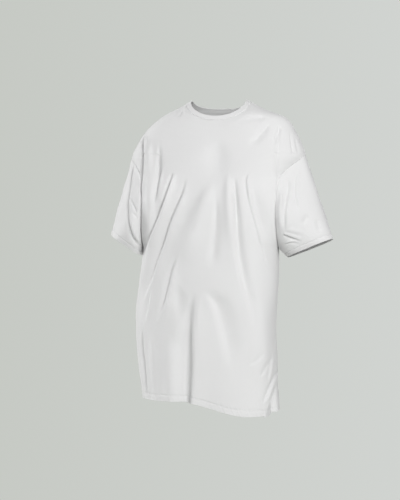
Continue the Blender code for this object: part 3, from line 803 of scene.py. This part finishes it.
def build_bindings():
    quarter = np.linspace(0, 1, 151) ** 3 * math.pi / 2  # closer together near the shoulder seams
    angles = np.concatenate([quarter, math.pi - quarter[-2::-1]])
    made = [build_binding("neck_binding", angles, FRONT_NECK_DROP, on_front,
                          lambda o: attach(o, "gown_body"), "neck_binding_front")]
    for side, name, node, flap in ((1, "neck_binding_back_left", "neck_binding_over", "flap_over"),
                                   (-1, "neck_binding_back_right", "neck_binding_under", "flap_under")):
        end = math.acos(-LAP_HALF / NECK_SEAM_HALF_WIDTH)
        angles = end * np.linspace(0, 1, 161) ** 3
        if side < 0:
            angles = math.pi - angles
        made.append(build_binding(name, angles, BACK_NECK_DROP, on_over_flap if side > 0 else on_under_flap,
                                  lambda o, side=side, flap=flap: blend_flap(o, side, flap), node))
    return made


# ---- stitches ----

def stitch_mesh(name, rows):
    """Thread stitches along rows of (points, outward normals); each stitch is a small spindle."""
    sides = 6
    points, faces = [], []
    for line, out in rows:
        run = np.concatenate([[0], np.cumsum(np.linalg.norm(np.diff(line, axis=0), axis=1))])
        places = np.arange(STITCH_PITCH / 2, run[-1], STITCH_PITCH)
        for place in places:
            ends = np.array([place - STITCH_LENGTH / 2, place + STITCH_LENGTH / 2])
            a, b = (np.array([np.interp(e, run, line[:, i]) for i in range(3)]) for e in ends)
            up = np.array([np.interp(place, run, out[:, i]) for i in range(3)])
            along = (b - a) / max(np.linalg.norm(b - a), 1e-9)
            up = up - along * (up @ along)
            up = up / max(np.linalg.norm(up), 1e-9)
            over = np.cross(along, up)
            first = len(points)
            for share, radius, height in ((0, 0.25, -0.3), (0.2, 0.9, 0.4), (0.8, 0.9, 0.4), (1, 0.25, -0.3)):
                centre = a + (b - a) * share + up * THREAD * height
                for k in range(sides):
                    angle = 2 * math.pi * k / sides
                    points.append(centre + (up * math.cos(angle) + over * math.sin(angle)) * THREAD * radius)
            for ring in range(3):
                for k in range(sides):
                    n = (k + 1) % sides
                    base = first + ring * sides
                    faces.append((base + k, base + sides + k, base + sides + n, base + n))
            faces.append(tuple(first + k for k in range(sides)))
            faces.append(tuple(first + 3 * sides + k for k in range(sides - 1, -1, -1)))
    return new_piece(name, [tuple(p) for p in points], faces)


def level_line(points, out, distance, target):
    """The line along a grid on which the distance down its columns reaches target, on the cloth's outside."""
    index = np.arange(points.shape[0])
    line, ups = [], []
    for j in range(points.shape[1]):
        order = np.argsort(distance[:, j])
        at = np.interp(target, distance[order, j], index[order])
        i = min(int(at), len(index) - 2)
        part = at - i
        up = out[i, j] * (1 - part) + out[i + 1, j] * part
        line.append(points[i, j] * (1 - part) + points[i + 1, j] * part + up * CLOTH / 2)
        ups.append(up)
    return np.array(line), np.array(ups)


def side_line(points, out, which, inset, low, high):
    """A line down one side of a panel, inset from its edge, between two heights."""
    across = lengths_along(points, 1)
    distance = across if which == 0 else across[:, -1:] - across
    line, ups = level_line(points.swapaxes(0, 1), out.swapaxes(0, 1), distance.T, inset)
    keep = (line[:, 2] > low) & (line[:, 2] < high)
    return line[keep], ups[keep]


def vent_line(points, out, which):
    """The row of stitches along a side vent's turned edge."""
    return side_line(points, out, which, VENT_HEM_WIDTH - HEM_STITCHES, HEM_Z, VENT_TOP_Z - 0.008)


def hem_and_neck_lines(points, out, front):
    x, z = points[..., 0], points[..., 2]
    return [level_line(points, out, z - hem_height(x, front), HEM_WIDTH - HEM_STITCHES),
            level_line(points, out, lengths_along(points, 0), NECK_STITCHES)]


# ---- snaps ----

def lathe(name, profile, middle, out):
    """A turned piece round out, from (radius, height) pairs that start and end on the axis."""
    place = Matrix.Translation(Vector(middle)) @ Vector(out).to_track_quat("Z", "Y").to_matrix().to_4x4()
    points, faces, rings = [], [], []
    for radius, height in profile:
        angles = [2 * math.pi * k / SNAP_SIDES for k in range(SNAP_SIDES)] if radius else [0.0]
        rings.append(list(range(len(points), len(points) + len(angles))))
        for angle in angles:
            points.append(tuple(place @ Vector((radius * math.cos(angle), radius * math.sin(angle), height))))
    for a, b in zip(rings, rings[1:]):
        for k in range(SNAP_SIDES):
            n = (k + 1) % SNAP_SIDES
            if len(a) == 1:
                faces.append((a[0], b[n], b[k]))
            elif len(b) == 1:
                faces.append((a[k], a[n], b[0]))
            else:
                faces.append((a[k], a[n], b[n], b[k]))
    made = new_piece(name, points, faces, sharp=50)
    if sum((f.center - Vector(middle)).dot(f.normal) * f.area for f in made.data.polygons) < 0:
        made.data.flip_normals()
    return made


def snap_cap(face, away, through):
    """A domed cap with a shallow ring round its middle, and the prong that goes through the cloth."""
    crown = face + away * SNAP_CROWN
    return ([(0, crown - away * 0.0002), (0.0016, crown - away * 0.0002), (0.0020, crown),
             (0.0040, crown - away * 0.00005), (0.0052, crown - away * 0.00035),
             (0.0058, crown - away * 0.0008), (0.0058, face + away * 0.0001), (0.0056, face), (0.0010, face),
             (0.0010, through), (0, through)])


def build_snaps(cover):
    face = SNAP_FACE
    stud_top, knob_top = face + 0.0010, face + 0.0024
    foot, roof = stud_top + 0.0003, LAP_GAP - face
    stud = [(0, face), (0.0044, face), (0.0046, face + 0.0002), (0.0046, stud_top - 0.0003),
            (0.0043, stud_top), (0.0017, stud_top), (0.0017, stud_top + 0.0003), (0.0020, knob_top - 0.0006),
            (0.0018, knob_top - 0.0001), (0.0014, knob_top), (0, knob_top)]
    socket = [(0, knob_top + 0.0003), (0.0024, knob_top + 0.0003), (0.0025, knob_top + 0.0001),
              (0.0025, foot + 0.0002), (0.0027, foot), (0.0047, foot), (0.0050, foot + 0.0003),
              (0.0050, roof - 0.0003), (0.0047, roof), (0, roof)]
    pieces = (("snap_inner_cap", snap_cap(-face, -1, face - 0.0003), "snap_cap_inner", "flap_under"),
              ("snap_knob", stud, "snap_stud", "flap_under"),
              ("snap_cup", socket, "snap_socket", "flap_over"),
              ("snap_outer_cap", snap_cap(LAP_GAP + face, 1, LAP_GAP - face + 0.0003), "snap_cap_outer",
               "flap_over"))
    for number, z in enumerate(SNAP_HEIGHTS, 1):
        points, out = surface_near(on_under_flap, np.array([0.0]), np.array([z]))
        for name, profile, replaced, body in pieces:
            piece = lathe(f"{name}_{number}", profile, points[0], out[0])
            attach(piece, body)
            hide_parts(f"{replaced}_{number}")
            dress(piece, cover)


# ---- materials ----

def dress(piece, cover):
    """Gives a piece its material."""
    piece.data.materials.clear()
    piece.data.materials.append(cover)


def node(tree, kind, **values):
    """A new node, with values on its sockets, or on its attributes where it has no such socket."""
    made = tree.nodes.new(kind)
    for key, value in values.items():
        if key in made.inputs:
            made.inputs[key].default_value = value
        else:
            setattr(made, key, value)
    return made


def principled(name, **values):
    """A new material, with values on its shader's sockets, and its node tree and shader."""
    made = bpy.data.materials.new(name)
    made.use_nodes = True
    shader = made.node_tree.nodes["Principled BSDF"]
    for key, value in values.items():
        shader.inputs[key].default_value = value
    return made, made.node_tree, shader


def noise(tree, place, scale, **values):
    """Noise in the piece's own space."""
    made = node(tree, "ShaderNodeTexNoise", Scale=scale, **values)
    tree.links.new(place.outputs["Object"], made.inputs["Vector"])
    return made.outputs["Fac"]


def colour_between(tree, factor, low, high):
    """A colour that goes from low to high with the factor's socket."""
    made = node(tree, "ShaderNodeMix", data_type="RGBA")
    made.inputs["A"].default_value = (*low, 1)
    made.inputs["B"].default_value = (*high, 1)
    tree.links.new(factor, made.inputs["Factor"])
    return made.outputs["Result"]


def cloth_material(name, colour, thread, relief):
    """Plain-weave cloth: crossing threads in relief, uneven yarns, faint mottling and a soft sheen."""
    made, tree, shader = principled(name, **{
        "Roughness": 0.88, "Sheen Weight": 0.18, "Sheen Roughness": 0.55, "Specular IOR Level": 0.22})
    link = tree.links.new
    weave_place = node(tree, "ShaderNodeUVMap", uv_map="cloth")
    place = node(tree, "ShaderNodeTexCoord")
    both = node(tree, "ShaderNodeMath", operation="MULTIPLY")
    for socket, turn in enumerate((0.0, math.pi / 2)):
        turned = node(tree, "ShaderNodeMapping", Rotation=(0, 0, turn))
        link(weave_place.outputs["UV"], turned.inputs["Vector"])
        wave = node(tree, "ShaderNodeTexWave", **{
            "Scale": math.pi / thread / 20, "Distortion": 0.6, "Detail Scale": 0.6})
        link(turned.outputs["Vector"], wave.inputs["Vector"])
        link(wave.outputs["Fac"], both.inputs[socket])
    height = node(tree, "ShaderNodeMath", operation="MULTIPLY_ADD")
    link(noise(tree, place, 260.0, Detail=3.0), height.inputs[0])
    height.inputs[1].default_value = 0.5
    link(both.outputs["Value"], height.inputs[2])
    bump = node(tree, "ShaderNodeBump", Strength=relief, Distance=0.00025)
    link(height.outputs["Value"], bump.inputs["Height"])
    soft = node(tree, "ShaderNodeBump", Strength=0.12, Distance=0.004)
    link(noise(tree, place, 34.0, Detail=4.0, Roughness=0.55), soft.inputs["Height"])
    link(bump.outputs["Normal"], soft.inputs["Normal"])
    link(soft.outputs["Normal"], shader.inputs["Normal"])
    shade = colour_between(tree, noise(tree, place, 9.0, Detail=5.0), [c * 0.965 for c in colour], colour)
    weave = node(tree, "ShaderNodeMix", data_type="RGBA", blend_type="MULTIPLY")
    weave.inputs["Factor"].default_value = 0.06
    link(shade, weave.inputs["A"])
    link(both.outputs["Value"], weave.inputs["B"])
    link(weave.outputs["Result"], shader.inputs["Base Color"])
    return made


def thread_material():
    made, tree, shader = principled("white_thread", **{"Roughness": 0.6, "Sheen Weight": 0.3})
    twist = noise(tree, node(tree, "ShaderNodeTexCoord"), 900.0, Detail=2.0)
    shade = colour_between(tree, twist, (0.72, 0.72, 0.72), (0.84, 0.84, 0.84))
    tree.links.new(shade, shader.inputs["Base Color"])
    return made


def snap_material():
    """White moulded plastic with a faint grain."""
    made, tree, shader = principled("white_snap_plastic", **{
        "IOR": 1.48, "Subsurface Weight": 0.1, "Subsurface Radius": (0.001, 0.001, 0.001)})
    grain = noise(tree, node(tree, "ShaderNodeTexCoord"), 1400.0, Detail=3.0)
    rough = node(tree, "ShaderNodeMapRange", **{"To Min": 0.28, "To Max": 0.42})
    tree.links.new(grain, rough.inputs["Value"])
    tree.links.new(rough.outputs["Result"], shader.inputs["Roughness"])
    bump = node(tree, "ShaderNodeBump", Strength=0.1, Distance=0.0002)
    tree.links.new(grain, bump.inputs["Height"])
    tree.links.new(bump.outputs["Normal"], shader.inputs["Normal"])
    shade = colour_between(tree, grain, (0.80, 0.80, 0.79), (0.86, 0.86, 0.85))
    tree.links.new(shade, shader.inputs["Base Color"])
    return made


# ---- stage ----

def build_stage():
    """A pale floor under the wearer's feet, and a backdrop that only the camera sees, with painted light: a
    little lighter to the right.
    """
    angles = [2 * math.pi * k / 96 for k in range(96)]
    ring = [(FLOOR_RADIUS * math.cos(angle), FLOOR_RADIUS * math.sin(angle), FLOOR_Z) for angle in angles]
    mesh = bpy.data.meshes.new("floor")
    mesh.from_pydata(ring, [], [tuple(range(len(ring)))])
    floor = bpy.data.objects.new("floor", mesh)
    bpy.context.scene.collection.objects.link(floor)
    pale = principled("pale_floor", **{"Base Color": (0.62, 0.64, 0.60, 1), "Roughness": 0.9})[0]
    mesh.materials.append(pale)

    world = bpy.data.worlds.new("pale_room")
    bpy.context.scene.world = world
    world.use_nodes = True
    tree = world.node_tree
    link = tree.links.new
    split = node(tree, "ShaderNodeSeparateXYZ")
    link(node(tree, "ShaderNodeTexCoord").outputs["Generated"], split.inputs["Vector"])
    # painted light on the backdrop: from its shaded left colour to its lit right colour across the view
    span = node(tree, "ShaderNodeMapRange", **{"From Min": -0.34, "From Max": 0.06})
    link(split.outputs["X"], span.inputs["Value"])
    seen = node(tree, "ShaderNodeMix", data_type="RGBA")
    seen.inputs["A"].default_value = (ROOM_LIGHT, ROOM_LIGHT, ROOM_LIGHT, 1)
    link(node(tree, "ShaderNodeLightPath").outputs["Is Camera Ray"], seen.inputs["Factor"])
    link(colour_between(tree, span.outputs["Result"], WALL_LEFT_PAINTED_SHADE, WALL_RIGHT_PAINTED_LIGHT), seen.inputs["B"])
    link(seen.outputs["Result"], tree.nodes["Background"].inputs["Color"])


def build_lights():
    for name, (place, size, watts) in LIGHTS.items():
        data = bpy.data.lights.new(name, "AREA")
        data.shape = "RECTANGLE"
        data.size, data.size_y = size
        data.energy = watts
        lamp = bpy.data.objects.new(name, data)
        lamp.location = place
        lamp.rotation_mode = "QUATERNION"
        lamp.rotation_quaternion = (Vector(LIGHT_AIM) - Vector(place)).to_track_quat("-Z", "Y")
        bpy.context.scene.collection.objects.link(lamp)


def build_camera():
    turn = math.radians(CAMERA_TURN)
    right = Vector((math.cos(turn), math.sin(turn), 0))
    ahead = Vector((-math.sin(turn), math.cos(turn), 0))
    aim = right * CAMERA_AIM[0] + Vector((0, 0, CAMERA_AIM[1]))
    data = bpy.data.cameras.new("camera")
    data.sensor_width = 36.0
    data.lens = data.sensor_width / 2 / (VIEW_HEIGHT / 2 / CAMERA_DISTANCE)
    camera = bpy.data.objects.new("camera", data)
    camera.location = aim - ahead * CAMERA_DISTANCE
    camera.rotation_mode = "QUATERNION"
    camera.rotation_quaternion = ahead.to_track_quat("-Z", "Y")
    bpy.context.scene.collection.objects.link(camera)
    bpy.context.scene.camera = camera


# ---- the whole ----

def sew_front(piece, points, out, thread):
    rows = hem_and_neck_lines(points, out, True)
    for which in (0, 1):
        rows.append(side_line(points, out, which, SEAM_STITCHES, UNDERARM_Z, -0.012))
        rows.append(vent_line(points, out, which))
    stitches = stitch_mesh("stitches_front", rows)
    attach(stitches, "gown_body")
    dress(stitches, thread)


def sew_back(side, flap, piece, points, out, thread):
    rows = hem_and_neck_lines(points, out, False)
    rows += [side_line(points, out, 0, inset, -0.88, -0.02) for inset in LAP_STITCHES]
    rows.append(vent_line(points, out, 1))
    stitches = stitch_mesh("stitches_back_left" if side > 0 else "stitches_back_right", rows)
    blend_flap(stitches, side, flap)
    dress(stitches, thread)


def sew_sleeve(side, body, piece, points, out, thread):
    points, out = (np.concatenate([grid, grid[:, :1]], 1) for grid in (points, out))
    run = lengths_along(points, 0)
    rows = [level_line(points, out, run[-1:] - run, SLEEVE_HEM_WIDTH - HEM_STITCHES)]
    stitches = stitch_mesh("stitches_sleeve_left" if side > 0 else "stitches_sleeve_right", rows)
    blend_sleeve(stitches, side, body)
    dress(stitches, thread)


def build_gown():
    cloth = cloth_material("white_gown_cloth", (0.84, 0.84, 0.84), thread=0.0006, relief=0.35)
    tape = cloth_material("white_binding_cloth", (0.86, 0.86, 0.86), thread=0.0005, relief=0.30)
    thread = thread_material()
    front = build_front()
    backs = [build_back(*back) for back in BACKS]
    sleeves = [build_sleeve(*sleeve) for sleeve in SLEEVES]
    for piece, _, _ in [front, *backs, *sleeves]:
        dress(piece, cloth)
    for piece in build_bindings():
        dress(piece, tape)
    sew_front(*front, thread)
    for (side, _, _, flap), back in zip(BACKS, backs):
        sew_back(side, flap, *back, thread)
    for (side, _, body), sleeve in zip(SLEEVES, sleeves):
        sew_sleeve(side, body, *sleeve, thread)
    build_snaps(snap_material())


bpy.context.scene.view_settings.view_transform = "Standard"
build_camera()
build_gown()
build_stage()
build_lights()
